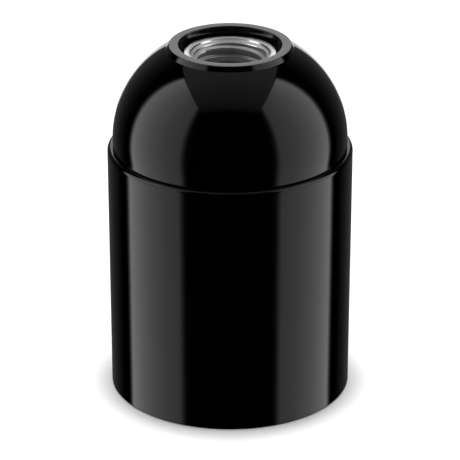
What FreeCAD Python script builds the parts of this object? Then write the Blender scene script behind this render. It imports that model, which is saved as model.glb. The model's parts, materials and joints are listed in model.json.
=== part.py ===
import FreeCAD, Part
import math
import os
import re
import Sketcher

# An E27 lamp holder standing on its open mouth: millimetres, +Z up, origin at the centre of the mouth rim.
# A skirt with the lamp thread, a screwed-on dome cap with a metal entry bush, and a ceramic contact block
# that rests on the skirt's ledge and is keyed to the cap.

doc = FreeCAD.newDocument("LampHolder")
sizes = doc.addObject("Spreadsheet::Sheet", "Sizes")

values = {
    # outer skin of the skirt, a little narrower at the mouth
    "skirtDraft": 0.2,
    "mouthRound": 0.3,
    "shoulderRise": 4.85,
    "shoulderRound": 0.6,
    "skinWall": 2.0,
    "shoulderWall": 2.0,
    # inner tube with the E27 lamp thread, and the room for the contacts above it
    "tubeWall": 2.0,
    "tubeStart": 11.0,
    "lampCrestRadius": 12.21,
    "lampThreadDepth": 0.99,
    "lampPitch": 3.629,
    "lampGrooveHalf": 1.45,
    "lampRootHalf": 0.55,
    "lampThreadLength": 18.5,
    "leadIn": 1.0,
    "reliefGap": 0.2,
    "contactRoom": 6.5,
    "slotRibWidth": 1.6,
    "slotRibStart": 14.0,
    "slotRibBite": 0.5,
    # neck and the thread that holds the cap
    "ledgeWidth": 0.9,
    "neckWall": 1.2,
    "neckHeight": 5.45,
    "neckEdge": 0.3,
    "capPitch": 3.0,
    "ridgeHeight": 0.7,
    "ridgeLift": 1.25,
    "ridgeRise": 3.4,
    "ridgeBaseHalf": 0.9,
    "ridgeCrestHalf": 0.4,
    "capThreadGap": 0.25,
    "capBoreGap": 0.2,
    "grooveRunOut": 0.2,
    "threadBite": 0.2,
    # dome cap
    "capWall": 2.21,
    "seamStep": 0.84,
    "capEdge": 0.25,
    "domeRise": 1.15,
    "domeWall": 2.0,
    "collarWall": 1.54,
    "collarHeight": 0.8,
    "collarEdge": 0.15,
    "recessDepth": 2.0,
    "moatWidth": 0.84,
    "bossWall": 2.11,
    "bossGap": 1.1,
    # keys inside the cap that turn the contact block and press it on to its ledge
    "keyThickness": 2.4,
    "keyInset": 1.0,
    "keyDepth": 1.7,
    "keyLift": 0.5,
    "keySideGap": 0.2,
    "keyBackGap": 0.3,
    "pressDepth": 1.6,
    "archGap": 0.6,
    "archHeight": 3.6,
    # metal entry bush, M12 x 1.5, drawn at the crest of its thread
    "bushRadius": 7.29,
    "bushLength": 8.16,
    "bushSink": 1.24,
    "bushBore": 5.188,
    "bushRim": 0.84,
    "bushGrooveDepth": 0.4,
    "bushGrooveRise": 4.2,
    "bushGrooveWidth": 1.4,
    "lockRadius": 1.5,
    "lockRise": 2.1,
    "lockLength": 4.0,
    "lockSink": 0.1,
    "lockSlotWidth": 0.5,
    "lockSlotDepth": 0.7,
    # ceramic contact block
    "blockGap": 0.25,
    "blockHeight": 6.5,
    "blockEdge": 0.4,
    "barrierWidth": 4.8,
    "barrierGap": 0.3,
    "barrierHeight": 4.0,
    "screwWellGap": 0.55,
    "screwWellWall": 1.2,
    # terminals, the same on both poles
    "terminalGap": 0.6,
    "rivetShift": 0.7,
    "rivetGap": 0.25,
    "plateThickness": 0.8,
    "plateWidth": 6.4,
    "plateEdge": 3.8,
    "plateRim": 0.757,
    "plateTail": 3.2,
    "plateGap": 0.1,
    "washerSide": 6.5,
    "washerThickness": 1.0,
    "clampLift": 1.8,
    "screwRadius": 1.75,
    "plateHoleGap": 0.05,
    "washerHoleGap": 0.08,
    "screwReach": 4.3,
    "screwTipLength": 0.5,
    "screwTipInset": 0.45,
    "headRadius": 3.5,
    "headHeight": 2.2,
    "slotWidth": 0.9,
    "slotDepth": 1.0,
    # tubular rivets
    "rivetRadius": 1.5,
    "rivetBore": 0.9,
    "rivetFlange": 2.1,
    "rivetFlangeHeight": 0.5,
    # contact strips, phosphor bronze: the live one ends in a nose on the lamp's axis,
    # the neutral one in a foot beside the lamp cap's shell
    "stripTail": 2.6,
    "liveThickness": 0.5,
    "liveWidth": 6.0,
    "liveDrop": 4.5,
    "liveNose": 1.6,
    "liveToe": 0.9,
    "neutralThickness": 0.6,
    "neutralWidth": 5.0,
    "neutralGap": 0.61,
    "neutralBend": 1.0,
    "neutralDrop": 6.6,
    "neutralFootReach": 1.0,
}

# sizes, radii and heights that follow from the ones above
derived = {
    "lampRootRadius": "lampCrestRadius + lampThreadDepth",
    "tubeRadius": "lampRootRadius + tubeWall",
    "reliefRadius": "lampRootRadius + reliefGap",
    "neckBore": "reliefRadius + ledgeWidth",
    "neckRadius": "neckBore + neckWall",
    "ridgeRadius": "neckRadius + ridgeHeight",
    "grooveRadius": "ridgeRadius + capThreadGap",
    "capRadius": "grooveRadius + capWall",
    "shoulderRadius": "capRadius + seamStep",
    "mouthRadius": "shoulderRadius - skirtDraft",
    "lampThreadTop": "tubeStart + lampThreadLength",
    "ledgeHeight": "lampThreadTop + contactRoom",
    "shoulderHeight": "ledgeHeight + shoulderRise",
    "slotTop": "shoulderHeight - shoulderWall",
    "slotRadius": "mouthRadius - skinWall",
    "neckTop": "shoulderHeight + neckHeight",
    "ridgeStart": "shoulderHeight + ridgeLift",
    "blockTop": "ledgeHeight + blockHeight",
    "blockRadius": "neckBore - blockGap",
    "barrierTop": "blockTop + barrierHeight",
    "headUnder": "blockTop + washerThickness",
    "bossBottom": "headUnder + headHeight + clampLift + bossGap",
    "bushTop": "bossBottom + bushLength",
    "holderTop": "bushTop + bushSink",
    "recessFloor": "holderTop - recessDepth",
    "recessRadius": "bushRadius + moatWidth",
    "collarRadius": "recessRadius + collarWall",
    "collarBase": "holderTop - collarHeight",
    "bossRadius": "bushRadius + bossWall",
    "capBore": "neckRadius + capBoreGap",
    "domeStart": "shoulderHeight + domeRise",
    "domeIn": "capRadius - collarRadius",
    "domeRadius": "(domeIn ^ 2 + (collarBase - domeStart) ^ 2) / (2 * domeIn)",
    "domeCentre": "capRadius - domeRadius",
    "hollowRadius": "domeRadius - domeWall",
    "hollowStart": "domeStart + sqrt(hollowRadius ^ 2 - (capBore - domeCentre) ^ 2)",
    "hollowTop": "domeStart + sqrt(hollowRadius ^ 2 - (bossRadius - domeCentre) ^ 2)",
    "keyOuter": "neckBore - keyInset",
    "keyInner": "keyOuter - keyDepth",
    "pressInner": "keyInner - pressDepth",
    "keyBottom": "ledgeHeight + keyLift",
    "archBottom": "neckTop + archGap",
    "archTop": "archBottom + archHeight",
    "wallMiddle": "domeRadius - domeWall / 2",
    "archReach": "domeCentre + sqrt(wallMiddle ^ 2 - (archBottom - domeStart) ^ 2)",
    "archTopReach": "domeCentre + sqrt(wallMiddle ^ 2 - (archTop - domeStart) ^ 2)",
    "notchInner": "keyInner - keyBackGap",
    "notchWidth": "keyThickness + 2 * keySideGap",
    "barrierReach": "pressInner - barrierGap",
    "terminalOut": "barrierWidth / 2 + terminalGap + plateWidth / 2",
    "plateSide": "terminalOut + plateWidth / 2",
    "plateFront": "sqrt((blockRadius - plateRim) ^ 2 - plateSide ^ 2)",
    "terminalAcross": "plateFront - plateEdge",
    "rivetAcross": "terminalAcross - washerSide / 2 - rivetGap - rivetFlange",
    "rivetOut": "terminalOut + rivetShift",
    "plateBack": "plateTail - rivetAcross",
    "bushWaist": "bushRadius - bushGrooveDepth",
    "bushGrooveLow": "bossBottom + bushGrooveRise",
    "bushGrooveHigh": "bushGrooveLow + bushGrooveWidth",
    "bushMouthRadius": "bushRadius - bushRim",
    "lockHeight": "bossBottom + lockRise",
    "lockStart": "bossRadius - lockSink - lockLength",
    "screwWellFloor": "ledgeHeight + screwWellWall",
    "screwTip": "blockTop - screwReach",
    "liveTip": "ledgeHeight - liveDrop",
    "liveBack": "rivetOut + stripTail",
    "liveInner": "liveNose - liveThickness",
    "liveUnder": "ledgeHeight - liveThickness",
    "noseHeight": "liveTip + liveNose",
    "neutralNear": "rivetOut - stripTail",
    "neutralReach": "lampCrestRadius - neutralGap",
    "neutralInner": "neutralReach - neutralThickness",
    "neutralUnder": "ledgeHeight - neutralThickness",
    "neutralFoot": "ledgeHeight - neutralDrop",
    "grooveSlope": "(ridgeBaseHalf - ridgeCrestHalf) / ridgeHeight",
    "grooveMouthHalf": "ridgeBaseHalf - capBoreGap * grooveSlope + capThreadGap",
    "grooveRootHalf": "ridgeCrestHalf + capThreadGap",
    "grooveStart": "ridgeStart - capPitch",
    "lampGrooveStart": "tubeStart - 1.5 * lampPitch",
}


def fillSheet():
    cells = list(values.items()) + [(name, "=" + formula) for name, formula in derived.items()]
    for row, (name, content) in enumerate(cells, start=1):
        sizes.set("A%d" % row, name)
        sizes.set("B%d" % row, str(content))
        sizes.setAlias("B%d" % row, name)
    doc.recompute()


def linked(formula):
    # a formula in size names becomes one that reads them from the sheet
    return re.sub(r"\b(?!sqrt\b)[A-Za-z]\w*", r"Sizes.\g<0>", formula)


def placed(formula):
    # the sheet works out a formula, so that a sketch is drawn where its sizes will hold it
    sizes.set("D1", "=" + formula)
    sizes.recompute()
    return float(sizes.get("D1"))


def bind(item, links):
    for path, formula in links.items():
        item.setExpression(path, linked(formula))


def bindPlace(item, place):
    bind(item, dict(zip(("Placement.Base.x", "Placement.Base.y", "Placement.Base.z"), place)))


def newBody(name, turned=0):
    body = doc.addObject("PartDesign::Body", name)
    body.Label = name
    body.Placement.Rotation = FreeCAD.Rotation(FreeCAD.Vector(0, 0, 1), turned)
    return body


def datum(body, role):
    return [item for item in body.Origin.OriginFeatures if item.Role == role][0]


def holdPoint(sketch, piece, end, x, y):
    for kind, axis, formula in (("DistanceX", -2, x), ("DistanceY", -1, y)):
        if formula == "0":
            sketch.addConstraint(Sketcher.Constraint("PointOnObject", piece, end, axis))
            continue
        held = Sketcher.Constraint(kind, -1, 1, piece, end, placed(formula))
        index = sketch.addConstraint(held)
        sketch.setExpression("Constraints[%d]" % index, linked(formula))


def arcMiddle(start, end, radius, side):
    chord = end - start
    across = FreeCAD.Vector(-chord.y, chord.x, 0).normalize() * side
    sagitta = radius - math.sqrt(radius ** 2 - (chord.Length / 2) ** 2)
    return start + chord * 0.5 + across * sagitta


def pieceEnds(sketch, starts):
    # an arc may be stored from its far end, so each piece says which of its ends comes first
    ends = []
    for index, start in enumerate(starts):
        near = sketch.getPoint(index, 1).distanceToPoint(start) < 1e-6
        ends.append((1, 2) if near else (2, 1))
    return ends


def outline(body, label, role, points, arcs=None):
    # a closed outline; arcs gives the radius and the bulging side of the stretch that follows a point
    arcs = arcs or {}
    sketch = body.newObject("Sketcher::SketchObject", label)
    sketch.AttachmentSupport = [(datum(body, role), "")]
    sketch.MapMode = "FlatFace"
    starts = [FreeCAD.Vector(placed(x), placed(y), 0) for x, y in points]
    count = len(points)
    for index, start in enumerate(starts):
        end = starts[(index + 1) % count]
        if index in arcs:
            radius, side = arcs[index]
            curve = Part.Arc(start, arcMiddle(start, end, placed(radius), side), end)
        else:
            curve = Part.LineSegment(start, end)
        sketch.addGeometry(curve, False)
    ends = pieceEnds(sketch, starts)
    for index, (x, y) in enumerate(points):
        after = (index + 1) % count
        sketch.addConstraint(Sketcher.Constraint("Coincident", index, ends[index][1], after, ends[after][0]))
        holdPoint(sketch, index, ends[index][0], x, y)
    for index, (radius, side) in arcs.items():
        held = sketch.addConstraint(Sketcher.Constraint("Radius", index, placed(radius)))
        sketch.setExpression("Constraints[%d]" % held, linked(radius))
    return sketch


def revolved(body, label, points, arcs=None):
    feature = body.newObject("PartDesign::Revolution", label)
    feature.Profile = outline(body, label + "Outline", "XZ_Plane", points, arcs)
    feature.ReferenceAxis = (datum(body, "Z_Axis"), [""])
    feature.Angle = 360
    return feature


def threaded(body, kind, label, points, pitch, rise):
    feature = body.newObject("PartDesign::" + kind + "Helix", label)
    feature.Profile = outline(body, label + "Outline", "XZ_Plane", points)
    feature.ReferenceAxis = (datum(body, "Z_Axis"), [""])
    feature.Mode = 0
    bind(feature, {"Pitch": pitch, "Height": rise})
    return feature


def slab(body, label, role, points, width, arcs=None):
    # an outline given its width evenly to both sides of the plane
    feature = body.newObject("PartDesign::Pad", label)
    feature.Profile = outline(body, label + "Outline", role, points, arcs)
    feature.SideType = "Symmetric"
    bind(feature, {"Length": width})
    return feature


def post(body, kind, label, radius, height, place):
    feature = body.newObject("PartDesign::" + kind + "Cylinder", label)
    bind(feature, {"Radius": radius, "Height": height})
    bindPlace(feature, place)
    return feature


def brick(body, kind, label, lengths, place):
    feature = body.newObject("PartDesign::" + kind + "Box", label)
    bind(feature, dict(zip(("Length", "Width", "Height"), lengths)))
    bindPlace(feature, place)
    return feature


def taper(body, label, foot, top, height, place):
    feature = body.newObject("PartDesign::AdditiveCone", label)
    bind(feature, {"Radius1": foot, "Radius2": top, "Height": height})
    bindPlace(feature, place)
    return feature


def repeated(body, label, features, count):
    pattern = body.newObject("PartDesign::PolarPattern", label)
    pattern.Originals = features
    pattern.Axis = (datum(body, "Z_Axis"), [""])
    pattern.Angle = 360
    pattern.Occurrences = count
    body.Tip = pattern
    return pattern


def makeSkirt():
    body = newBody("skirt")
    revolved(body, "Shell", [
        ("slotRadius", "0"),
        ("mouthRadius - mouthRound", "0"),
        ("mouthRadius", "mouthRound"),
        ("shoulderRadius", "shoulderHeight - shoulderRound"),
        ("shoulderRadius - shoulderRound", "shoulderHeight"),
        ("neckRadius", "shoulderHeight"),
        ("neckRadius", "neckTop - neckEdge"),
        ("neckRadius - neckEdge", "neckTop"),
        ("neckBore", "neckTop"),
        ("neckBore", "ledgeHeight"),
        ("reliefRadius", "ledgeHeight"),
        ("reliefRadius", "lampThreadTop"),
        ("lampCrestRadius", "lampThreadTop"),
        ("lampCrestRadius", "tubeStart + leadIn"),
        ("lampRootRadius", "tubeStart"),
        ("tubeRadius", "tubeStart"),
        ("tubeRadius", "slotTop"),
        ("slotRadius", "slotTop"),
    ], {1: ("mouthRound", -1), 3: ("shoulderRound", -1)})
    rib = brick(
        body, "Additive", "SlotRib",
        ("slotRadius - tubeRadius + 2 * slotRibBite", "slotRibWidth",
         "slotTop - slotRibStart + slotRibBite"),
        ("tubeRadius - slotRibBite", "-slotRibWidth / 2", "slotRibStart"))
    repeated(body, "SlotRibs", [rib], 4)
    threaded(body, "Subtractive", "LampThread", [
        ("lampCrestRadius - threadBite", "lampGrooveStart - lampGrooveHalf"),
        ("lampCrestRadius", "lampGrooveStart - lampGrooveHalf"),
        ("lampRootRadius", "lampGrooveStart - lampRootHalf"),
        ("lampRootRadius", "lampGrooveStart + lampRootHalf"),
        ("lampCrestRadius", "lampGrooveStart + lampGrooveHalf"),
        ("lampCrestRadius - threadBite", "lampGrooveStart + lampGrooveHalf"),
    ], "lampPitch", "lampThreadLength + 2 * lampPitch")
    threaded(body, "Additive", "NeckThread", [
        ("neckRadius - threadBite", "ridgeStart - ridgeBaseHalf"),
        ("neckRadius", "ridgeStart - ridgeBaseHalf"),
        ("ridgeRadius", "ridgeStart - ridgeCrestHalf"),
        ("ridgeRadius", "ridgeStart + ridgeCrestHalf"),
        ("neckRadius", "ridgeStart + ridgeBaseHalf"),
        ("neckRadius - threadBite", "ridgeStart + ridgeBaseHalf"),
    ], "capPitch", "ridgeRise")
    return body


def lockHole(body):
    hole = body.newObject("PartDesign::SubtractiveCylinder", "LockHole")
    hole.Placement.Rotation = FreeCAD.Rotation(FreeCAD.Vector(1, 0, 0), -90)
    bind(hole, {"Radius": "lockRadius", "Height": "bossRadius"})
    bindPlace(hole, ("0", "0", "lockHeight"))


def makeCap():
    body = newBody("cap")
    revolved(body, "Dome", [
        ("capBore", "shoulderHeight"),
        ("capRadius - capEdge", "shoulderHeight"),
        ("capRadius", "shoulderHeight + capEdge"),
        ("capRadius", "domeStart"),
        ("collarRadius", "collarBase"),
        ("collarRadius", "holderTop - collarEdge"),
        ("collarRadius - collarEdge", "holderTop"),
        ("recessRadius + collarEdge", "holderTop"),
        ("recessRadius", "holderTop - collarEdge"),
        ("recessRadius", "recessFloor"),
        ("bushRadius", "recessFloor"),
        ("bushRadius", "bushGrooveHigh"),
        ("bushWaist", "bushGrooveHigh"),
        ("bushWaist", "bushGrooveLow"),
        ("bushRadius", "bushGrooveLow"),
        ("bushRadius", "bossBottom"),
        ("bossRadius", "bossBottom"),
        ("bossRadius", "hollowTop"),
        ("capBore", "hollowStart"),
    ], {3: ("domeRadius", -1), 17: ("hollowRadius", 1)})
    key = slab(body, "Key", "XZ_Plane", [
        ("keyInner", "keyBottom"),
        ("keyOuter", "keyBottom"),
        ("keyOuter", "archBottom"),
        ("archReach", "archBottom"),
        ("archTopReach", "archTop"),
        ("pressInner", "archTop"),
        ("pressInner", "blockTop"),
        ("keyInner", "blockTop"),
    ], "keyThickness")
    repeated(body, "Keys", [key], 2)
    threaded(body, "Subtractive", "CapThread", [
        ("capBore - threadBite", "grooveStart - grooveMouthHalf"),
        ("capBore", "grooveStart - grooveMouthHalf"),
        ("grooveRadius", "grooveStart - grooveRootHalf"),
        ("grooveRadius", "grooveStart + grooveRootHalf"),
        ("capBore", "grooveStart + grooveMouthHalf"),
        ("capBore - threadBite", "grooveStart + grooveMouthHalf"),
    ], "capPitch", "ridgeRise + capPitch + grooveRunOut")
    lockHole(body)
    return body


def makeBush():
    body = newBody("entry_bush")
    revolved(body, "Sleeve", [
        ("bushBore", "bossBottom"),
        ("bushRadius", "bossBottom"),
        ("bushRadius", "bushGrooveLow"),
        ("bushWaist", "bushGrooveLow"),
        ("bushWaist", "bushGrooveHigh"),
        ("bushRadius", "bushGrooveHigh"),
        ("bushRadius", "bushTop"),
        ("bushMouthRadius", "bushTop"),
        ("bushBore", "bushTop - (bushMouthRadius - bushBore)"),
    ])
    lockHole(body)
    return body


def makeLockScrew():
    body = newBody("bush_lock_screw")
    shank = body.newObject("PartDesign::AdditiveCylinder", "Shank")
    shank.Placement.Rotation = FreeCAD.Rotation(FreeCAD.Vector(1, 0, 0), -90)
    bind(shank, {"Radius": "lockRadius", "Height": "lockLength"})
    bindPlace(shank, ("0", "lockStart", "lockHeight"))
    brick(body, "Subtractive", "Slot",
          ("lockSlotWidth", "2 * lockSlotDepth", "4 * lockRadius"),
          ("-lockSlotWidth / 2", "lockStart + lockLength - lockSlotDepth", "lockHeight - 2 * lockRadius"))
    return body


def rivetHole(body):
    place = ("rivetAcross", "-rivetOut", "0")
    return post(body, "Subtractive", "RivetHole", "rivetRadius", "2 * blockTop", place)


def makeBlock():
    body = newBody("contact_block")
    post(body, "Additive", "Disc", "blockRadius", "blockHeight - blockEdge", ("0", "0", "ledgeHeight"))
    taper(body, "RimBevel", "blockRadius", "blockRadius - blockEdge", "blockEdge",
          ("0", "0", "blockTop - blockEdge"))
    brick(body, "Additive", "Barrier",
          ("2 * barrierReach", "barrierWidth", "barrierTop - ledgeHeight"),
          ("-barrierReach", "-barrierWidth / 2", "ledgeHeight"))
    notch = brick(body, "Subtractive", "KeyNotch",
                  ("blockRadius", "notchWidth", "2 * blockTop"),
                  ("notchInner", "-notchWidth / 2", "0"))
    repeated(body, "KeyNotches", [notch], 2)
    seat = brick(body, "Subtractive", "PlateSeat",
                 ("plateBack + plateFront + 2 * plateGap", "plateWidth + 2 * plateGap", "blockTop"),
                 ("-plateBack - plateGap", "-plateSide - plateGap", "blockTop - plateThickness"))
    well = post(body, "Subtractive", "ScrewWell", "screwRadius + screwWellGap", "blockTop",
                ("terminalAcross", "-terminalOut", "screwWellFloor"))
    hole = rivetHole(body)
    repeated(body, "Terminals", [seat, well, hole], 2)
    return body


def makePlate(name, turned):
    body = newBody(name, turned)
    brick(body, "Additive", "Strip",
          ("plateBack + plateFront", "plateWidth", "plateThickness"),
          ("-plateBack", "-plateSide", "blockTop - plateThickness"))
    post(body, "Subtractive", "ScrewHole", "screwRadius + plateHoleGap", "2 * blockTop",
         ("terminalAcross", "-terminalOut", "0"))
    rivetHole(body)
    return body


def makeWasher(name, turned):
    body = newBody(name, turned)
    brick(body, "Additive", "Square", ("washerSide", "washerSide", "washerThickness"),
          ("terminalAcross - washerSide / 2", "-terminalOut - washerSide / 2", "blockTop"))
    post(body, "Subtractive", "ScrewHole", "screwRadius + washerHoleGap", "2 * blockTop",
         ("terminalAcross", "-terminalOut", "0"))
    return body


def makeScrew(name, turned):
    body = newBody(name, turned)
    post(body, "Additive", "Head", "headRadius", "headHeight",
         ("terminalAcross", "-terminalOut", "headUnder"))
    post(body, "Additive", "Shank", "screwRadius", "headUnder - screwTip - screwTipLength",
         ("terminalAcross", "-terminalOut", "screwTip + screwTipLength"))
    taper(body, "Tip", "screwRadius - screwTipInset", "screwRadius", "screwTipLength",
          ("terminalAcross", "-terminalOut", "screwTip"))
    brick(body, "Subtractive", "Slot", ("4 * headRadius", "slotWidth", "headHeight"),
          ("terminalAcross - 2 * headRadius", "-terminalOut - slotWidth / 2",
           "headUnder + headHeight - slotDepth"))
    return body


def makeRivet(name, turned, under):
    body = newBody(name, turned)
    across, out = "rivetAcross", "-rivetOut"
    foot = under + " - rivetFlangeHeight"
    post(body, "Additive", "Shank", "rivetRadius", "blockTop - " + under, (across, out, under))
    post(body, "Additive", "TopFlange", "rivetFlange", "rivetFlangeHeight", (across, out, "blockTop"))
    post(body, "Additive", "FootFlange", "rivetFlange", "rivetFlangeHeight", (across, out, foot))
    post(body, "Subtractive", "Bore", "rivetBore", "2 * blockTop", (across, out, "0"))
    return body


def makeLiveContact():
    # a strip under the block that bends down at 45 degrees to a round nose on the lamp's axis
    body = newBody("live_contact")
    bind(body, {"Placement.Base.x": "rivetAcross"})
    lean = " * sqrt(0.5)"
    slab(body, "Strip", "YZ_Plane", [
        ("-liveBack", "ledgeHeight"),
        ("-liveBack", "liveUnder"),
        ("-(liveUnder - noseHeight + 2 * liveNose" + lean + ")", "liveUnder"),
        ("-liveNose" + lean, "noseHeight - liveNose" + lean),
        ("liveNose" + lean, "noseHeight - liveNose" + lean),
        ("liveNose" + lean + " + liveToe", "noseHeight - liveNose" + lean + " + liveToe"),
        ("liveInner" + lean + " + liveToe", "noseHeight - liveInner" + lean + " + liveToe"),
        ("liveInner" + lean, "noseHeight - liveInner" + lean),
        ("-liveInner" + lean, "noseHeight - liveInner" + lean),
        ("-(ledgeHeight - noseHeight + 2 * liveInner" + lean + ")", "ledgeHeight"),
    ], "liveWidth", {3: ("liveNose", -1), 7: ("liveInner", 1)})
    post(body, "Subtractive", "RivetHole", "rivetRadius", "2 * blockTop", ("0", "-rivetOut", "0"))
    return body


def makeNeutralContact():
    # a strip under the block that bends down to reach the lamp cap's shell from the side
    body = newBody("neutral_contact")
    bind(body, {"Placement.Base.x": "-rivetAcross"})
    lean = " * sqrt(0.5)"
    slab(body, "Strip", "YZ_Plane", [
        ("neutralNear", "ledgeHeight"),
        ("neutralNear", "neutralUnder"),
        ("neutralReach - neutralBend", "neutralUnder"),
        ("neutralInner", "ledgeHeight - neutralBend"),
        ("neutralInner", "neutralFoot + neutralThickness * (sqrt(2) - 1)"),
        ("neutralReach - neutralFootReach - neutralThickness" + lean,
         "neutralFoot - neutralFootReach + neutralThickness" + lean),
        ("neutralReach - neutralFootReach", "neutralFoot - neutralFootReach"),
        ("neutralReach", "neutralFoot"),
        ("neutralReach", "ledgeHeight - neutralBend"),
        ("neutralReach - neutralBend", "ledgeHeight"),
    ], "neutralWidth", {2: ("neutralBend - neutralThickness", 1), 8: ("neutralBend", -1)})
    post(body, "Subtractive", "RivetHole", "rivetRadius", "2 * blockTop", ("0", "rivetOut", "0"))
    return body


def makePoles():
    # the neutral terminal is the live one turned half round the holder's axis
    made = []
    for pole, turned in (("live", 0), ("neutral", 180)):
        made.append(makePlate(pole + "_terminal_plate", turned))
        made.append(makeWasher(pole + "_clamp_washer", turned))
        made.append(makeScrew(pole + "_terminal_screw", turned))
        made.append(makeRivet(pole + "_rivet", turned, pole + "Under"))
    return made


def checkPieces(bodies):
    doc.recompute()
    for item in doc.Objects:
        if "Invalid" in item.State or "Error" in item.State:
            raise RuntimeError(item.Label + " did not build")
    for body in bodies:
        if body.Shape.isNull() or not body.Shape.isValid() or len(body.Shape.Solids) != 1:
            raise RuntimeError(body.Label + " is not one sound solid")


def writePieces(bodies):
    os.makedirs("parts", exist_ok=True)
    for body in bodies:
        body.Shape.exportStep("parts/" + body.Label + ".step")
        print(body.Label, round(body.Shape.Volume, 2))


fillSheet()
pieces = [makeSkirt(), makeCap(), makeBush(), makeLockScrew(), makeBlock()]
pieces += [makeLiveContact(), makeNeutralContact()] + makePoles()
checkPieces(pieces)
writePieces(pieces)
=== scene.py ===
import bmesh
import bpy
import json
import math
from mathutils import Matrix, Vector


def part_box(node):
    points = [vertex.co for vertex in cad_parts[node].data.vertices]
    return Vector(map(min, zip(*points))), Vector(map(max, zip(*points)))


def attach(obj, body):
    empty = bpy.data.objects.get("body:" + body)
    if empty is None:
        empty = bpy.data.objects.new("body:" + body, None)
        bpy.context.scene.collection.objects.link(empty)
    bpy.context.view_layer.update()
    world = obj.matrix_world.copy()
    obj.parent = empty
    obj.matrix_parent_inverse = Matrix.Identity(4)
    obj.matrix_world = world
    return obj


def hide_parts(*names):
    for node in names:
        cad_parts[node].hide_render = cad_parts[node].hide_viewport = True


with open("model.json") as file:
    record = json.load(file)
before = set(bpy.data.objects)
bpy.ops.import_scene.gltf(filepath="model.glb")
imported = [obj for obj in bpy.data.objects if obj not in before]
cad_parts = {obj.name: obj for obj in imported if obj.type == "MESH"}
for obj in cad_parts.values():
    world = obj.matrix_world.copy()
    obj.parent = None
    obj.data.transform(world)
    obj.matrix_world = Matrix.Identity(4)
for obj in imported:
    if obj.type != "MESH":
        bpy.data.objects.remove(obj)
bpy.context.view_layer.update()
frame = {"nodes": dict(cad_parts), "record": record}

mm = 0.001  # pieces are drawn in millimetres and scaled once, when their mesh is made


def boxOf(node):
    low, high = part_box(node)
    return low / mm, high / mm


skirtLow, skirtHigh = boxOf("skirt")
capLow, capHigh = boxOf("cap")
bushLow, bushHigh = boxOf("entry_bush")
blockLow, blockHigh = boxOf("contact_block")
mounts = {mount["name"]: mount["dims"] for mount in frame["record"]["mounts"]}
shoulderDrop = 5.45  # from the top of the neck to the skirt's shoulder, where the cap's edge sits
neckPitch = 3.0  # of the thread between neck and cap
print("frame loaded")


def hexColour(text):
    # an sRGB hex value to the linear colour that a shader takes
    parts = [int(text[place:place + 2], 16) / 255 for place in (1, 3, 5)]
    linear = [part / 12.92 if part <= 0.04045 else ((part + 0.055) / 1.055) ** 2.4 for part in parts]
    return (*linear, 1.0)


def addNode(tree, kind, inputs=None, **settings):
    # adds a node with its settings; an input takes a value or the output that feeds it
    node = tree.nodes.new(kind)
    for name, value in settings.items():
        setattr(node, name, value)
    for name, value in (inputs or {}).items():
        if isinstance(value, bpy.types.NodeSocket):
            tree.links.new(value, node.inputs[name])
        else:
            node.inputs[name].default_value = value
    return node


def newMaterial(name, colour, roughness, metallic=0.0, ior=1.5):
    material = bpy.data.materials.new(name)
    material.use_nodes = True
    shader = material.node_tree.nodes["Principled BSDF"]
    shader.inputs["Base Color"].default_value = hexColour(colour)
    shader.inputs["Roughness"].default_value = roughness
    shader.inputs["Metallic"].default_value = metallic
    shader.inputs["IOR"].default_value = ior
    return material, material.node_tree, shader


# outlines are lists of (radius, height) or (across, up) points in millimetres

def rounded(corners, steps=6, closed=False):
    # corners are (x, y) or (x, y, rounding); a rounding turns the corner into an arc
    points = []
    count = len(corners)
    for index, corner in enumerate(corners):
        here = Vector(corner[:2])
        rounding = corner[2] if len(corner) > 2 else 0
        if not rounding or (not closed and index in (0, count - 1)):
            points.append(here)
            continue
        back = (Vector(corners[index - 1][:2]) - here).normalized()
        ahead = (Vector(corners[(index + 1) % count][:2]) - here).normalized()
        opening = back.angle(ahead)
        centre = here + (back + ahead).normalized() * rounding / math.sin(opening / 2)
        start = here + back * rounding / math.tan(opening / 2) - centre
        end = here + ahead * rounding / math.tan(opening / 2) - centre
        sweep = start.angle_signed(end)
        for step in range(steps + 1):
            turned = start.copy()
            turned.rotate(Matrix.Rotation(-sweep * step / steps, 2))
            points.append(centre + turned)
    return [tuple(point) for point in points]


def arc(centre, radius, fromAngle, toAngle, steps):
    angles = [math.radians(fromAngle + (toAngle - fromAngle) * step / steps) for step in range(steps + 1)]
    return [(centre[0] + radius * math.cos(angle), centre[1] + radius * math.sin(angle)) for angle in angles]


def lathe(outline, columns):
    # spins an outline round the Z axis and returns its points and faces
    points, faces = [], []
    rows = len(outline)
    for column in range(columns):
        turn = 2 * math.pi * column / columns
        points += [(radius * math.cos(turn), radius * math.sin(turn), height) for radius, height in outline]
    for column in range(columns):
        here, after = column * rows, (column + 1) % columns * rows
        for row in range(rows - 1):
            faces.append((here + row, after + row, after + row + 1, here + row + 1))
    return points, faces


def prism(outline, width, toPoint):
    # gives an outline its width, evenly to both sides; toPoint turns (across, up, side) into a place
    count = len(outline)
    points = [toPoint(x, y, side * width / 2) for side in (-1, 1) for x, y in outline]
    faces = [tuple(range(count)), tuple(range(2 * count - 1, count - 1, -1))]
    faces += [(index, count + index, count + (index + 1) % count, (index + 1) % count)
              for index in range(count)]
    return points, faces


def meshObject(name, *shells):
    # one object from any number of (points, faces) shells
    points, faces = [], []
    for shellPoints, shellFaces in shells:
        faces += [tuple(index + len(points) for index in face) for face in shellFaces]
        points += shellPoints
    mesh = bpy.data.meshes.new(name)
    mesh.from_pydata([Vector(point) * mm for point in points], [], faces)
    thing = bpy.data.objects.new(name, mesh)
    bpy.context.scene.collection.objects.link(thing)
    return thing


def shellOf(thing):
    # takes an object's mesh back as (points, faces) in millimetres, and removes the object
    points = [tuple(vertex.co / mm) for vertex in thing.data.vertices]
    faces = [tuple(face.vertices) for face in thing.data.polygons]
    bpy.data.objects.remove(thing)
    return points, faces


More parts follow.
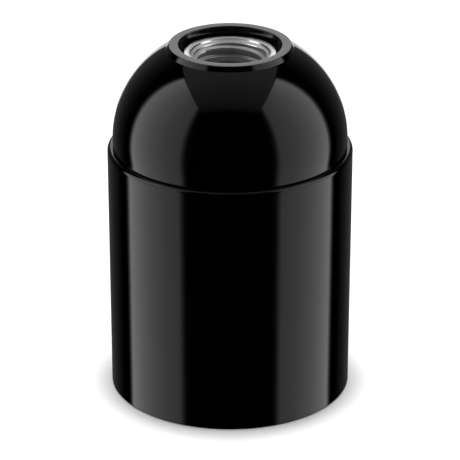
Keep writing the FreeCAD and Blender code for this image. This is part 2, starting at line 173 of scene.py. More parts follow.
def weld(thing, distance=0.002):
    shape = bmesh.new()
    shape.from_mesh(thing.data)
    bmesh.ops.remove_doubles(shape, verts=shape.verts, dist=distance * mm)
    bmesh.ops.dissolve_degenerate(shape, edges=shape.edges, dist=distance * mm / 4)
    bmesh.ops.recalc_face_normals(shape, faces=shape.faces)
    shape.to_mesh(thing.data)
    shape.free()


def bake(thing):
    # turns the modifiers' result into the object's plain mesh
    graph = bpy.context.evaluated_depsgraph_get()
    mesh = bpy.data.meshes.new_from_object(thing.evaluated_get(graph))
    thing.modifiers.clear()
    thing.data = mesh


def finish(thing, body, nodes, materials, bevel=None):
    # softens the edges, shades smooth between creases, and hands the piece to the frame
    creaseAngle, bevelAngle = math.radians(32), math.radians(40)
    for material in materials:
        if material.name not in thing.data.materials:
            thing.data.materials.append(material)
    if bevel:
        edge = thing.modifiers.new("edge", "BEVEL")
        edge.width = bevel * mm
        edge.segments = 3
        edge.limit_method = "ANGLE"
        edge.angle_limit = bevelAngle
        edge.use_clamp_overlap = True
        bake(thing)
    thing.data.polygons.foreach_set("use_smooth", [True] * len(thing.data.polygons))
    thing.data.set_sharp_from_angle(angle=creaseAngle)
    even = thing.modifiers.new("even", "WEIGHTED_NORMAL")
    even.keep_sharp = True
    bake(thing)
    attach(thing, body)
    if nodes:
        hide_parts(*nodes)


# a thread is one column of a one-turn strip, repeated round its helix by Geometry Nodes

def threadTree():
    tree = bpy.data.node_groups.new("helical wall", "GeometryNodeTree")
    sockets = tree.interface
    sockets.new_socket("Cell", in_out="INPUT", socket_type="NodeSocketGeometry")
    for name in ("Pitch", "Start Height", "Low", "High", "Root Radius", "Side", "First Turn",
                 "Last Turn", "Run Out"):
        sockets.new_socket(name, in_out="INPUT", socket_type="NodeSocketFloat")
    for name in ("Columns", "Count"):
        sockets.new_socket(name, in_out="INPUT", socket_type="NodeSocketInt")
    sockets.new_socket("Material", in_out="INPUT", socket_type="NodeSocketMaterial")
    sockets.new_socket("Wall", in_out="OUTPUT", socket_type="NodeSocketGeometry")
    given = addNode(tree, "NodeGroupInput").outputs
    index = addNode(tree, "GeometryNodeInputIndex").outputs[0]
    turn = addNode(tree, "ShaderNodeMath", {0: index, 1: given["Columns"]}, operation="DIVIDE").outputs[0]
    angle = addNode(tree, "ShaderNodeMath", {0: turn, 1: math.tau}, operation="MULTIPLY").outputs[0]
    rise = addNode(tree, "ShaderNodeMath", {0: turn, 1: given["Pitch"], 2: given["Start Height"]},
                   operation="MULTIPLY_ADD").outputs[0]
    place = addNode(tree, "ShaderNodeCombineXYZ", {"Z": rise}).outputs[0]
    spots = addNode(tree, "GeometryNodeMeshLine", {"Count": given["Count"], "Offset": (0, 0, 0)})
    moved = addNode(tree, "GeometryNodeSetPosition", {"Geometry": spots.outputs[0], "Position": place})
    marked = addNode(tree, "GeometryNodeStoreNamedAttribute",
                     {"Geometry": moved.outputs[0], "Name": "turn", "Value": turn}, data_type="FLOAT",
                     domain="POINT")
    aim = addNode(tree, "ShaderNodeCombineXYZ", {"Z": angle}).outputs[0]
    turned = addNode(tree, "FunctionNodeEulerToRotation", {"Euler": aim}).outputs[0]
    copies = addNode(tree, "GeometryNodeInstanceOnPoints",
                     {"Points": marked.outputs[0], "Instance": given["Cell"], "Rotation": turned})
    real = addNode(tree, "GeometryNodeRealizeInstances", {"Geometry": copies.outputs[0]})
    joined = addNode(tree, "GeometryNodeMergeByDistance",
                     {"Geometry": real.outputs[0], "Distance": 0.001 * mm})
    # how far a point stands out from the root, held down near both ends and at the thread's run-out
    spot = addNode(tree, "GeometryNodeInputPosition").outputs[0]
    parts = addNode(tree, "ShaderNodeSeparateXYZ", {"Vector": spot}).outputs
    flat = addNode(tree, "ShaderNodeCombineXYZ", {"X": parts["X"], "Y": parts["Y"]}).outputs[0]
    radius = addNode(tree, "ShaderNodeVectorMath", {0: flat}, operation="LENGTH").outputs["Value"]
    outward = addNode(tree, "ShaderNodeVectorMath", {0: flat}, operation="NORMALIZE").outputs[0]
    height = addNode(tree, "ShaderNodeClamp",
                     {"Value": parts["Z"], "Min": given["Low"], "Max": given["High"]}).outputs[0]
    fall = addNode(tree, "ShaderNodeMath", {0: given["Root Radius"], 1: radius},
                   operation="SUBTRACT").outputs[0]
    stand = addNode(tree, "ShaderNodeMath", {0: fall, 1: given["Side"]}, operation="MULTIPLY").outputs[0]
    aboveLow = addNode(tree, "ShaderNodeMath", {0: height, 1: given["Low"]}, operation="SUBTRACT").outputs[0]
    belowHigh = addNode(tree, "ShaderNodeMath", {0: given["High"], 1: height}, operation="SUBTRACT").outputs[0]
    stand = addNode(tree, "ShaderNodeMath", {0: stand, 1: aboveLow}, operation="MINIMUM").outputs[0]
    stand = addNode(tree, "ShaderNodeMath", {0: stand, 1: belowHigh}, operation="MINIMUM").outputs[0]
    at = addNode(tree, "GeometryNodeInputNamedAttribute", {"Name": "turn"}, data_type="FLOAT").outputs[0]
    runIn = addNode(tree, "ShaderNodeMath", {0: at, 1: given["First Turn"]}, operation="SUBTRACT").outputs[0]
    runOut = addNode(tree, "ShaderNodeMath", {0: given["Last Turn"], 1: at}, operation="SUBTRACT").outputs[0]
    ends = addNode(tree, "ShaderNodeMath", {0: runIn, 1: runOut}, operation="MINIMUM").outputs[0]
    fade = addNode(tree, "ShaderNodeMath", {0: ends, 1: given["Run Out"]}, operation="MULTIPLY",
                   use_clamp=True).outputs[0]
    stand = addNode(tree, "ShaderNodeMath", {0: stand, 1: fade}, operation="MULTIPLY").outputs[0]
    back = addNode(tree, "ShaderNodeMath", {0: stand, 1: given["Side"]}, operation="MULTIPLY").outputs[0]
    wallRadius = addNode(tree, "ShaderNodeMath", {0: given["Root Radius"], 1: back},
                         operation="SUBTRACT").outputs[0]
    ring = addNode(tree, "ShaderNodeVectorMath", {0: outward, "Scale": wallRadius},
                   operation="SCALE").outputs[0]
    lift = addNode(tree, "ShaderNodeCombineXYZ", {"Z": height}).outputs[0]
    final = addNode(tree, "ShaderNodeVectorMath", {0: ring, 1: lift}).outputs[0]
    shaped = addNode(tree, "GeometryNodeSetPosition", {"Geometry": joined.outputs[0], "Position": final})
    whole = addNode(tree, "GeometryNodeRealizeInstances", {"Geometry": shaped.outputs[0]})
    dressed = addNode(tree, "GeometryNodeSetMaterial",
                      {"Geometry": whole.outputs[0], "Material": given["Material"]})
    addNode(tree, "NodeGroupOutput", {"Wall": dressed.outputs[0]})
    return tree


helicalWall = threadTree()


def roundThread(thread, steps=8):
    # crest and root are arcs of one radius that meet halfway, as on a lamp thread
    half = thread["pitch"] / 2
    depth = abs(thread["crestRadius"] - thread["rootRadius"])
    curve = (depth ** 2 + half ** 2) / (4 * depth)
    outwards = 1 if thread["rootRadius"] > thread["crestRadius"] else -1
    outline = []
    for step in range(-2 * steps, 2 * steps + 1):
        height = half * step / (2 * steps)
        toCentre = min(abs(height), half - abs(height))
        drop = curve - math.sqrt(curve ** 2 - toCentre ** 2)
        if abs(height) <= half / 2:
            outline.append((thread["crestRadius"] + outwards * drop, height))
        else:
            outline.append((thread["rootRadius"] - outwards * drop, height))
    return outline


def flankThread(thread):
    # straight flanks between a flat crest and a flat root
    half = thread["pitch"] / 2
    crest, root = thread["crestFlat"] / 2, thread["rootFlat"] / 2
    corners = [(thread["rootRadius"], -half), (thread["rootRadius"], root - half),
               (thread["crestRadius"], -crest), (thread["crestRadius"], crest),
               (thread["rootRadius"], half - root), (thread["rootRadius"], half)]
    return rounded([(*corner, thread["rounding"]) for corner in corners], 3)


def threadWall(thread, outline, material):
    # the strip's first column is a plain mesh; the tree repeats it along the helix
    columns = thread["columns"]
    step = math.tau / columns
    points = [(radius * math.cos(turn), radius * math.sin(turn), height + thread["pitch"] * turn / math.tau)
              for turn in (0, step) for radius, height in outline]
    rows = len(outline)
    faces = [(row, rows + row, rows + row + 1, row + 1) for row in range(rows - 1)]
    cell = meshObject("threadCell", (points, faces))
    reach = thread["high"] - thread["low"] + 2 * thread["pitch"]
    phase = (thread["crestHeight"] - thread["low"]) % thread["pitch"]
    start = thread["low"] - 2 * thread["pitch"] + phase
    turns = (thread["crestHeight"] - start) / thread["pitch"]
    tree = cell.modifiers.new("thread", "NODES")
    tree.node_group = helicalWall
    settings = {
        "Pitch": thread["pitch"] * mm, "Start Height": start * mm,
        "Low": thread["low"] * mm, "High": thread["high"] * mm,
        "Root Radius": thread["rootRadius"] * mm,
        "Side": 1.0 if thread["rootRadius"] > thread["crestRadius"] else -1.0,
        "First Turn": turns + thread.get("firstTurn", -99.0), "Last Turn": turns + thread.get("lastTurn", 99.0),
        "Run Out": thread.get("runOut", 99.0), "Columns": columns,
        "Count": math.ceil(columns * (reach / thread["pitch"] + 1)), "Material": material,
    }
    for item in helicalWall.interface.items_tree:
        if item.in_out == "INPUT" and item.name in settings:
            tree[item.identifier] = settings[item.name]
    bake(cell)
    weld(cell, 0.0005)
    return shellOf(cell)


def carried(name, node, bevel, body, material):
    # a CAD solid with its edges softened: a copy is merged, its flat faces joined, and the edges rounded
    cad = frame["nodes"][node]
    points = [tuple(vertex.co / mm) for vertex in cad.data.vertices]
    faces = [tuple(face.vertices) for face in cad.data.polygons]
    thing = meshObject(name, (points, faces))
    weld(thing)
    shape = bmesh.new()
    shape.from_mesh(thing.data)
    bmesh.ops.dissolve_limit(shape, angle_limit=math.radians(1), verts=shape.verts, edges=shape.edges)
    shape.to_mesh(thing.data)
    shape.free()
    finish(thing, body, [node], [material], bevel=bevel)


def moved(shell, matrix):
    points, faces = shell
    return [tuple(matrix @ Vector(point)) for point in points], faces


def noise(tree, place, size, detail):
    # fractal noise whose features are about size millimetres across
    settings = {"Vector": place, "Scale": 1 / (size * mm), "Detail": detail}
    return addNode(tree, "ShaderNodeTexNoise", settings).outputs[0]


def relief(tree, shader, height, depth):
    bump = addNode(tree, "ShaderNodeBump", {"Height": height, "Distance": depth * mm})
    tree.links.new(bump.outputs[0], shader.inputs["Normal"])


def objectPlace(tree):
    return addNode(tree, "ShaderNodeTexCoord").outputs["Object"]


def glossPlastic():
    # black thermoplastic moulded in a polished tool: mirror gloss, broken only by a faint ripple
    # left by the melt and by roughness that drifts a little from place to place
    look = {"ripple": 2.6, "rippleDepth": 0.0011, "drift": 7.0, "roughLow": 0.035, "roughHigh": 0.07}
    material, tree, shader = newMaterial("glossBlackThermoplastic", "#010101", 0.05)
    place = objectPlace(tree)
    ripple = noise(tree, place, look["ripple"], 1.0)
    relief(tree, shader, ripple, look["rippleDepth"])
    drift = noise(tree, place, look["drift"], 3.0)
    rough = addNode(tree, "ShaderNodeMapRange", {"Value": drift, "From Min": 0.3, "From Max": 0.7,
                                                 "To Min": look["roughLow"], "To Max": look["roughHigh"]})
    tree.links.new(rough.outputs[0], shader.inputs["Roughness"])
    return material


def facedPlastic():
    # the same plastic where the collar's end was faced off: even grey satin with a fine grain
    look = {"grain": 0.25, "grainDepth": 0.003}
    material, tree, shader = newMaterial("facedBlackThermoplastic", "#262626", 0.2, ior=1.55)
    place = objectPlace(tree)
    grain = noise(tree, place, look["grain"], 2.0)
    relief(tree, shader, grain, look["grainDepth"])
    return material


def ringedPlastic():
    # gloss black wall whose mould was turned: faint level rings break up what it reflects
    look = {"ring": 0.42, "ringDepth": 0.009}
    material, tree, shader = newMaterial("ringedBlackThermoplastic", "#010101", 0.07)
    place = objectPlace(tree)
    height = addNode(tree, "ShaderNodeSeparateXYZ", {"Vector": place}).outputs["Z"]
    level = addNode(tree, "ShaderNodeCombineXYZ", {"Z": height}).outputs[0]
    rings = noise(tree, level, look["ring"], 2.0)
    relief(tree, shader, rings, look["ringDepth"])
    return material


def turnedZinc(name, colour, roughLow, roughHigh):
    # steel turned on a lathe and zinc-plated: its fine rings differ in gloss, so that bright satin
    # streaks run round it; real rings are 0.05 mm apart, drawn coarser so that they show
    look = {"ring": 0.24, "ringDepth": 0.003}
    material, tree, shader = newMaterial(name, colour, roughLow, metallic=1.0)
    place = objectPlace(tree)
    parts = addNode(tree, "ShaderNodeSeparateXYZ", {"Vector": place}).outputs
    flat = addNode(tree, "ShaderNodeCombineXYZ", {"X": parts["X"], "Y": parts["Y"]}).outputs[0]
    radius = addNode(tree, "ShaderNodeVectorMath", {0: flat}, operation="LENGTH").outputs["Value"]
    lines = addNode(tree, "ShaderNodeCombineXYZ", {"X": radius, "Z": parts["Z"]}).outputs[0]
    rings = noise(tree, lines, look["ring"], 3.0)
    relief(tree, shader, rings, look["ringDepth"])
    rough = addNode(tree, "ShaderNodeMapRange", {"Value": rings, "From Min": 0.35, "From Max": 0.65,
                                                 "To Min": roughLow, "To Max": roughHigh})
    tree.links.new(rough.outputs[0], shader.inputs["Roughness"])
    return material


def ceramic():
    # pressed and fired steatite, unglazed: off-white and matt, with a fine grain and faint specks
    look = {"grain": 0.35, "grainDepth": 0.01, "speck": 0.5}
    material, tree, shader = newMaterial("firedSteatite", "#e4dfd2", 0.55, ior=1.6)
    place = objectPlace(tree)
    grain = noise(tree, place, look["grain"], 4.0)
    relief(tree, shader, grain, look["grainDepth"])
    speck = noise(tree, place, look["speck"], 2.0)
    tint = addNode(tree, "ShaderNodeValToRGB", {"Fac": speck})
    tint.color_ramp.elements[0].position = 0.28
    tint.color_ramp.elements[0].color = hexColour("#b9b09c")
    tint.color_ramp.elements[1].position = 0.42
    tint.color_ramp.elements[1].color = hexColour("#e4dfd2")
    tree.links.new(tint.outputs[0], shader.inputs["Base Color"])
    return material


def rolledMetal(name, colour, tarnish):
    # strip that was rolled and blanked: fine lines along its length and a slight uneven tarnish
    look = {"line": 0.18, "stretch": 0.04, "lineDepth": 0.0018, "patch": 1.6}
    material, tree, shader = newMaterial(name, colour, 0.28, metallic=1.0)
    place = objectPlace(tree)
    squeeze = (1.0, look["stretch"], look["stretch"])
    drawn = addNode(tree, "ShaderNodeMapping", {"Vector": place, "Scale": squeeze})
    lines = noise(tree, drawn.outputs[0], look["line"], 3.0)
    relief(tree, shader, lines, look["lineDepth"])
    patch = noise(tree, place, look["patch"], 4.0)
    tint = addNode(tree, "ShaderNodeValToRGB", {"Fac": patch})
    tint.color_ramp.elements[0].position = 0.3
    tint.color_ramp.elements[0].color = hexColour(tarnish)
    tint.color_ramp.elements[1].position = 0.6
    tint.color_ramp.elements[1].color = hexColour(colour)
    tree.links.new(tint.outputs[0], shader.inputs["Base Color"])
    return material


plasticGloss = glossPlastic()
plasticFaced = facedPlastic()
plasticRinged = ringedPlastic()
zincBush = turnedZinc("turnedZincPlatedSteel", "#f6f6f6", 0.14, 0.75)
# the thread inside the bore gets a darker grey copy of the bush's metal: painted shade of the bore, with a
# duller gloss
zincShadedThread = turnedZinc("cutThreadSteel", "#a0a1a2", 0.3, 0.6)
steatite = ceramic()
bronzeStrip = rolledMetal("rolledPhosphorBronze", "#c98f62", "#a86f45")
brassStrip = rolledMetal("rolledBrass", "#d8b569", "#b8934a")
print("materials made")


def makeSkirt():
    # a smooth cylinder skin and, hanging inside it, the tube with the lamp thread
    size = {
        "draft": 0.2, "mouthRounding": 0.3, "shoulderRounding": 0.6, "skinWall": 2.0,
        "slotRounding": 0.4, "topWall": 2.0, "tubeStart": 11.0, "tubeRadius": 15.2, "threadDepth": 1.08,
        "lampPitch": 3.629, "threadLength": 18.5, "reliefRadius": 13.4, "neckRadius": 15.5,
        "ribWidth": 1.6, "ribStart": 14.0, "ribBite": 0.3, "ribRoot": 0.5, "ridgeHeight": 0.7,
        "ridgeCrest": 0.8,
        "ridgeFoot": 1.8, "ridgeLift": 1.25, "ridgeTurns": 1.13, "blockGap": 0.25, "lampCrestRise": 2.5,
        "neckFoot": 0.25, "neckEdge": 0.4, "runOut": 14.0, "columns": 192,
    }
    low, top = skirtLow.z, skirtHigh.z
    shoulder = top - shoulderDrop
    ledge = blockLow.z
    shoulderRadius = skirtHigh.x
    mouthRadius = shoulderRadius - size["draft"]
    slotRadius = mouthRadius - size["skinWall"]
    slotTop = shoulder - size["topWall"]
    tubeLow = low + size["tubeStart"]
    crest = mounts["lamp_thread"]["r_mm"]
    root = crest + size["threadDepth"]
    bore = blockHigh.y + size["blockGap"]
    threadTop = tubeLow + size["threadLength"]
    neckFoot, neckEdge = shoulder + size["neckFoot"], top - size["neckEdge"]
    lampThread = {"pitch": size["lampPitch"], "crestRadius": crest, "rootRadius": root, "low": tubeLow,
                  "high": threadTop, "crestHeight": tubeLow + size["lampCrestRise"], "columns": size["columns"]}
    neckThread = {"pitch": neckPitch, "crestRadius": size["neckRadius"] + size["ridgeHeight"],
                  "rootRadius": size["neckRadius"], "low": neckFoot, "high": neckEdge,
                  "crestHeight": shoulder + size["ridgeLift"], "crestFlat": size["ridgeCrest"],
                  "rootFlat": neckPitch - size["ridgeFoot"], "rounding": 0.08, "firstTurn": 0.0,
                  "lastTurn": size["ridgeTurns"], "runOut": size["runOut"], "columns": size["columns"]}
    inner = rounded([
        (root, threadTop), (size["reliefRadius"], threadTop), (size["reliefRadius"], ledge, 0.1),
        (bore, ledge, 0.1), (bore, top, 0.15), (size["neckRadius"], top, 0.3), (size["neckRadius"], neckEdge),
    ])
    outer = rounded([
        (size["neckRadius"], neckFoot), (size["neckRadius"], shoulder, 0.1),
        (shoulderRadius, shoulder, size["shoulderRounding"]), (mouthRadius, low, size["mouthRounding"]),
        (slotRadius, low, 0.2), (slotRadius, slotTop, size["slotRounding"]),
        (size["tubeRadius"], slotTop, size["slotRounding"]), (size["tubeRadius"], tubeLow, 0.4),
        (root, tubeLow),
    ])
    shells = [lathe(inner, size["columns"]), lathe(outer, size["columns"])]
    shells.append(threadWall(lampThread, roundThread(lampThread), plasticGloss))
    shells.append(threadWall(neckThread, flankThread(neckThread), plasticGloss))
    skin = meshObject("skirtShell", *shells)
    weld(skin)
    ribs = []
    ribInner, ribOuter = size["tubeRadius"] - size["ribBite"], slotRadius + size["ribBite"]
    ribTop = slotTop + size["ribRoot"]
    rib = rounded([(ribInner, size["ribStart"]), (ribOuter, size["ribStart"]), (ribOuter, ribTop),
                   (ribInner, ribTop)], closed=True)
    for quarter in range(4):
        turn = Matrix.Rotation(math.pi / 2 * quarter, 3, "Z")
        ribs.append(moved(prism(rib, size["ribWidth"], lambda x, y, side: (x, side, y)), turn))
    whole = meshObject("skirtShell", shellOf(skin), *ribs)
    weld(whole)
    finish(whole, "skirt", ["skirt"], [plasticGloss])


def makeCap():
    # the dome with its collar, the recess round the entry bush, and two keys that reach into the neck
    size = {
        "edge": 0.25, "domeStart": 42.2, "domeRadius": 17.44, "collarHeight": 0.8,
        "collarRadius": 9.67, "collarEdge": 0.15, "recessRadius": 8.13, "recessDepth": 2.0, "domeWall": 2.0,
        "bossRadius": 9.4, "waist": 0.4, "waistLow": 4.2, "waistWidth": 1.4, "bore": 15.7, "grooveDepth": 0.75,
        "keyWidth": 2.4, "keyOuter": 13.3, "keyInner": 11.6, "pressInner": 10.0, "archLow": 46.9,
        "archHigh": 50.5, "archSlope": 1.6, "pressDepth": 4.0, "grooveLow": 0.2, "grooveHigh": 6.6,
        "grooveLift": 1.25, "columns": 192, "domeSteps": 56,
    }
    top = capHigh.z
    radius = capHigh.x
    low = skirtHigh.z - shoulderDrop
    bushRadius = bushHigh.x
    bottom = bushLow.z
    collarBase = top - size["collarHeight"]
    centre = (radius - size["domeRadius"], size["domeStart"])
    lean = math.degrees(math.asin((collarBase - centre[1]) / size["domeRadius"]))
    dome = arc(centre, size["domeRadius"], 0, lean, size["domeSteps"])
    hollow = size["domeRadius"] - size["domeWall"]
    hollowLow = math.degrees(math.acos((size["bore"] - centre[0]) / hollow))
    hollowHigh = math.degrees(math.acos((size["bossRadius"] - centre[0]) / hollow))
    inside = arc(centre, hollow, hollowHigh, hollowLow, size["domeSteps"] // 2)
    floor = top - size["recessDepth"]
    waistLow = bottom + size["waistLow"]
    waistHigh = waistLow + size["waistWidth"]
    waistRadius = bushRadius - size["waist"]
    groove = {"pitch": neckPitch, "crestRadius": size["bore"] + size["grooveDepth"], "rootRadius": size["bore"],
              "low": low + size["grooveLow"], "high": low + size["grooveHigh"],
              "crestHeight": low + size["grooveLift"], "crestFlat": 1.3, "rootFlat": 1.0,
              "rounding": 0.05, "firstTurn": -3.0, "lastTurn": 1.2, "runOut": 14.0, "columns": size["columns"]}
    outline = [(size["bore"], groove["low"])]
    outline += rounded([(size["bore"], groove["low"]), (size["bore"], low, 0.1), (radius, low, size["edge"]),
                        dome[0]])[1:-1]
    outline += dome[:-1]
    outline += rounded([dome[-2], (*dome[-1], 0.12), (size["collarRadius"], top, size["collarEdge"]),
                        (size["recessRadius"], top, size["collarEdge"]), (size["recessRadius"], floor, 0.15),
                        (bushRadius, floor, 0.1), (bushRadius, waistHigh), (waistRadius, waistHigh),
                        (waistRadius, waistLow), (bushRadius, waistLow), (bushRadius, bottom, 0.1),
                        (size["bossRadius"], bottom, 0.3), inside[0]])[1:-1]
    outline += inside
    outline.append((size["bore"], groove["high"]))
    skin = meshObject("capShell", lathe(outline, size["columns"]),
                      threadWall(groove, flankThread(groove), plasticGloss))
    weld(skin)
    keyLow = capLow.z
    reach = centre[0] + hollow
    pressLow = blockHigh.z - size["pressDepth"]
    key = [(size["keyInner"], keyLow, 0.3), (size["keyOuter"], keyLow, 0.3),
           (size["keyOuter"], size["archLow"], 0.3), (reach, size["archLow"]),
           (reach - size["archSlope"], size["archHigh"]), (size["pressInner"], size["archHigh"]),
           (size["pressInner"], pressLow, 0.2), (size["keyInner"], pressLow, 0.2)]
    keys = [moved(prism(rounded(key, closed=True), size["keyWidth"], lambda x, y, side: (x, side, y)),
                  Matrix.Rotation(math.pi * half, 3, "Z")) for half in (0, 1)]
    whole = meshObject("capShell", shellOf(skin), *keys)
    weld(whole)
    for face in whole.data.polygons:
        reach = math.hypot(face.center.x, face.center.y)
        if face.center.z > (top - 0.01) * mm and face.normal.z > 0.99:
            face.material_index = 1
        elif floor * mm < face.center.z < (top - 0.1) * mm and reach < (size["recessRadius"] + 0.1) * mm:
            face.material_index = 2
    finish(whole, "cap", ["cap"], [plasticGloss, plasticFaced, plasticRinged])


def makeBush():
    # the turned metal sleeve with the M12 x 1.5 entry thread under a 45 degree countersink
    # its thread is cut shallow, with a narrow crest and a wide root
    size = {"rim": 0.84, "rimRounding": 0.06, "threadDepth": 0.51, "pitch": 1.5, "crestRise": 1.1,
            "crestFlat": 0.28, "rootFlat": 0.74,
            "waist": 0.4, "waistLow": 4.2, "waistWidth": 1.4, "chamfer": 0.3, "columns": 144}
    low, top, radius = bushLow.z, bushHigh.z, bushHigh.x
    crest = mounts["cable_entry"]["r_mm"]
    root = crest + size["threadDepth"]
    mouth = radius - size["rim"]
    high = top - (mouth - root)
    waistLow = low + size["waistLow"]
    waistHigh = waistLow + size["waistWidth"]
    thread = {"pitch": size["pitch"], "crestRadius": crest, "rootRadius": root, "low": low, "high": high,
              "crestHeight": high - size["crestRise"], "crestFlat": size["crestFlat"],
              "rootFlat": size["rootFlat"], "rounding": 0.03, "columns": size["columns"]}
    outline = rounded([
        (root, low), (radius, low, size["chamfer"]), (radius, waistLow), (radius - size["waist"], waistLow),
        (radius - size["waist"], waistHigh), (radius, waistHigh), (radius, top, 0.12),
        (mouth, top, size["rimRounding"]), (mouth - 0.15, top - 0.15), (root + 0.15, high + 0.15), (root, high),
    ])
    sleeve = meshObject("entryBush", lathe(outline, size["columns"]),
                        threadWall(thread, flankThread(thread), zincBush))
    weld(sleeve)
    # the thread's faces inside the bore take the darker copy of the metal, painted shade of the bore
    for face in sleeve.data.polygons:
        reach = math.hypot(face.center.x, face.center.y) / mm
        face.material_index = 1 if reach < root + 0.05 and face.normal.z < 0.4 else 0
    finish(sleeve, "cap", ["entry_bush"], [zincBush, zincShadedThread])


makeSkirt()
makeCap()
makeBush()
print("casing made")

carried("ceramicBlock", "contact_block", 0.25, "core", steatite)
carried("liveStrip", "live_contact", 0.08, "core", bronzeStrip)
carried("neutralStrip", "neutral_contact", 0.08, "core", bronzeStrip)
carried("lockScrew", "bush_lock_screw", 0.08, "cap", zincBush)
for pole in ("live", "neutral"):
    carried(pole + "Plate", pole + "_terminal_plate", 0.1, "core", brassStrip)
    carried(pole + "Rivet", pole + "_rivet", 0.12, "core", brassStrip)
    carried(pole + "Washer", pole + "_clamp_washer", 0.12, pole + "_clamp", zincBush)
    carried(pole + "Screw", pole + "_terminal_screw", 0.15, pole + "_screw", zincBush)
print("contacts made")


def seenRay(tree):
    # 1 for the rays that show a surface: seen straight, mirrored or through glass
    path = addNode(tree, "ShaderNodeLightPath").outputs
    seen = path["Is Camera Ray"]
    for kind in ("Is Glossy Ray", "Is Transmission Ray"):
        seen = addNode(tree, "ShaderNodeMath", {0: seen, 1: path[kind]}, operation="MAXIMUM").outputs[0]
    return seen


def card(name, corners, strength, axis=None, stops=None, faces=((0, 1, 2, 3),)):
    # a studio board that only reflections see; stops are (place along the axis in metres, share of strength)
    board = meshObject(name, ([tuple(Vector(corner) / mm) for corner in corners], faces))
    material = bpy.data.materials.new(name)
    material.use_nodes = True
    tree = material.node_tree
    tree.nodes.clear()
    glow = addNode(tree, "ShaderNodeEmission", {"Strength": strength})
    if stops:
        start, end = stops[0][0], stops[-1][0]
        place = objectPlace(tree)
        along = addNode(tree, "ShaderNodeSeparateXYZ", {"Vector": place}).outputs[axis]
        share = addNode(tree, "ShaderNodeMapRange", {"Value": along, "From Min": start, "From Max": end})
        ramp = addNode(tree, "ShaderNodeValToRGB", {"Fac": share.outputs[0]})
        points = ramp.color_ramp.elements
        for spot, level in stops[1:-1]:
            points.new((spot - start) / (end - start)).color = (level, level, level, 1)
        points[0].color = (stops[0][1],) * 3 + (1,)
        points[-1].color = (stops[-1][1],) * 3 + (1,)
        tree.links.new(ramp.outputs[0], glow.inputs["Color"])
    addNode(tree, "ShaderNodeOutputMaterial", {"Surface": glow.outputs[0]})
    board.data.materials.append(material)
    board.visible_camera = False
    board.visible_diffuse = False
    board.visible_transmission = False
    board.visible_shadow = False


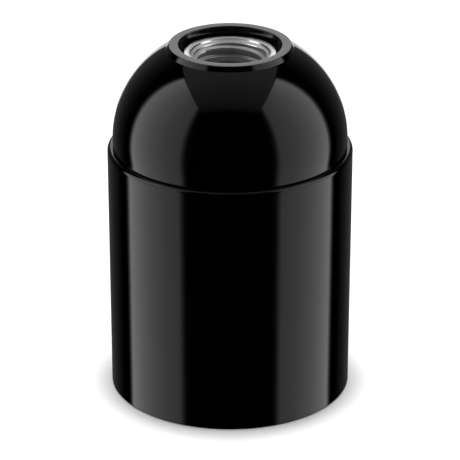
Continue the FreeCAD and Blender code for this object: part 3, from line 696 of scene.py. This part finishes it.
def makeStage():
    side = {"away": 0.5, "low": -0.45, "high": 0.765, "highFront": 0.84, "left": 1.82, "right": 1.74,
            "stops": [(-0.62, 0.0), (-0.545, 0.02), (-0.5, 0.1), (-0.475, 0.21), (-0.43, 0.4), (-0.344, 0.425),
                      (-0.265, 0.47), (-0.192, 0.535), (-0.124, 0.62), (-0.056, 0.69), (0.014, 0.8),
                      (0.085, 0.91), (0.13, 0.98), (0.153, 0.88), (0.168, 0.5), (0.183, 0.15), (0.215, 0.0)]}
    front, back = side["stops"][0][0], side["stops"][-1][0]
    for x, strength in ((-side["away"], side["left"]), (side["away"], side["right"])):
        card("sideBoard", [(x, front, side["low"]), (x, back, side["low"]), (x, back, side["high"]),
                           (x, front, side["highFront"])], strength, "Y", side["stops"])
    rear = {"away": 0.6, "half": 0.166, "low": -0.15, "high": 0.7, "strength": 1.1}
    half, away = rear["half"], rear["away"]
    card("rearBoard", [(-half, away, rear["low"]), (half, away, rear["low"]), (half, away, rear["high"]),
                       (-half, away, rear["high"])], rear["strength"])
    roof = {"up": 1.0, "half": 0.64, "reach": 0.74, "strength": 0.26,
            "stops": [(-0.74, 0.12), (-0.6, 0.38), (-0.3, 0.68), (0.05, 1.0), (0.74, 1.0)]}
    half, reach, up = roof["half"], roof["reach"], roof["up"]
    card("roofBoard", [(-half, -reach, up), (half, -reach, up), (half, reach, up), (-half, reach, up)],
         roof["strength"], "Y", roof["stops"])
    # a dark room round the boards, a little lighter behind, which mirrored rays meet instead of the white
    # world, so that the gloss black stays dark between the boards
    room = {"radius": 3.0, "rows": 24, "columns": 48, "strength": 0.1,
            "stops": [(-3.0, 0.0), (1.5, 0.0), (2.85, 1.0), (3.0, 1.0)]}
    points, faces = lathe(arc((0, 0), room["radius"], -90, 90, room["rows"]), room["columns"])
    card("darkRoom", points, room["strength"], "Y", room["stops"], faces)
    half, low = 4000, -0.02  # just under the skirt's foot, so that the two don't share a plane
    corners = [(-half, -half, low), (half, -half, low), (half, half, low), (-half, half, low)]
    floor = meshObject("floor", (corners, [(0, 1, 2, 3)]))
    paper, tree, shader = newMaterial("whitePaperFloor", "#ffffff", 1.0)
    shader.inputs["Specular IOR Level"].default_value = 0.0
    # the paper is seen lighter than it is lit, more so away from the lamp, so that it joins the white
    # behind it
    place = objectPlace(tree)
    away = addNode(tree, "ShaderNodeVectorMath", {0: place}, operation="LENGTH").outputs["Value"]
    rise = addNode(tree, "ShaderNodeMapRange", {"Value": away, "From Min": 0.3, "From Max": 1.3,
                                                "To Min": 0.12, "To Max": 0.62})
    lift = addNode(tree, "ShaderNodeMath", {0: seenRay(tree), 1: rise.outputs[0]}, operation="MULTIPLY")
    tree.links.new(lift.outputs[0], shader.inputs["Emission Strength"])
    shader.inputs["Emission Color"].default_value = hexColour("#ffffff")
    floor.data.materials.append(paper)
    floor.visible_glossy = False


def makeLights():
    lamp = bpy.data.lights.new("topLight", "AREA")
    lamp.size = 0.18
    lamp.energy = 11.8
    top = bpy.data.objects.new("topLight", lamp)
    top.location = (0, 0.03, 1.2)
    top.visible_glossy = False
    bpy.context.scene.collection.objects.link(top)
    world = bpy.data.worlds.new("studio")
    world.use_nodes = True
    tree = world.node_tree
    tree.nodes.clear()
    # white where it is seen, and dimmer as light on the part; mirrored rays meet the dark room instead
    level = addNode(tree, "ShaderNodeMapRange", {"Value": seenRay(tree), "To Min": 0.28, "To Max": 1.0})
    plain = addNode(tree, "ShaderNodeBackground", {"Strength": level.outputs[0]})
    plain.inputs["Color"].default_value = (1, 1, 1, 1)
    addNode(tree, "ShaderNodeOutputWorld", {"Surface": plain.outputs[0]})
    bpy.context.scene.world = world


def makeCamera():
    view = {"distance": 0.51425, "elevation": 24.136, "lens": 250.3, "aim": (-0.00001, 0, 0.02611)}
    tilt = math.radians(view["elevation"])
    aim = Vector(view["aim"])
    lens = bpy.data.cameras.new("camera")
    lens.lens = view["lens"]
    lens.sensor_width = 36
    camera = bpy.data.objects.new("camera", lens)
    camera.location = aim + view["distance"] * Vector((0, -math.cos(tilt), math.sin(tilt)))
    camera.rotation_euler = (math.pi / 2 - tilt, 0, 0)
    bpy.context.scene.collection.objects.link(camera)
    bpy.context.scene.camera = camera


makeStage()
makeLights()
makeCamera()
bpy.context.scene.view_settings.view_transform = "Standard"
print("stage made")
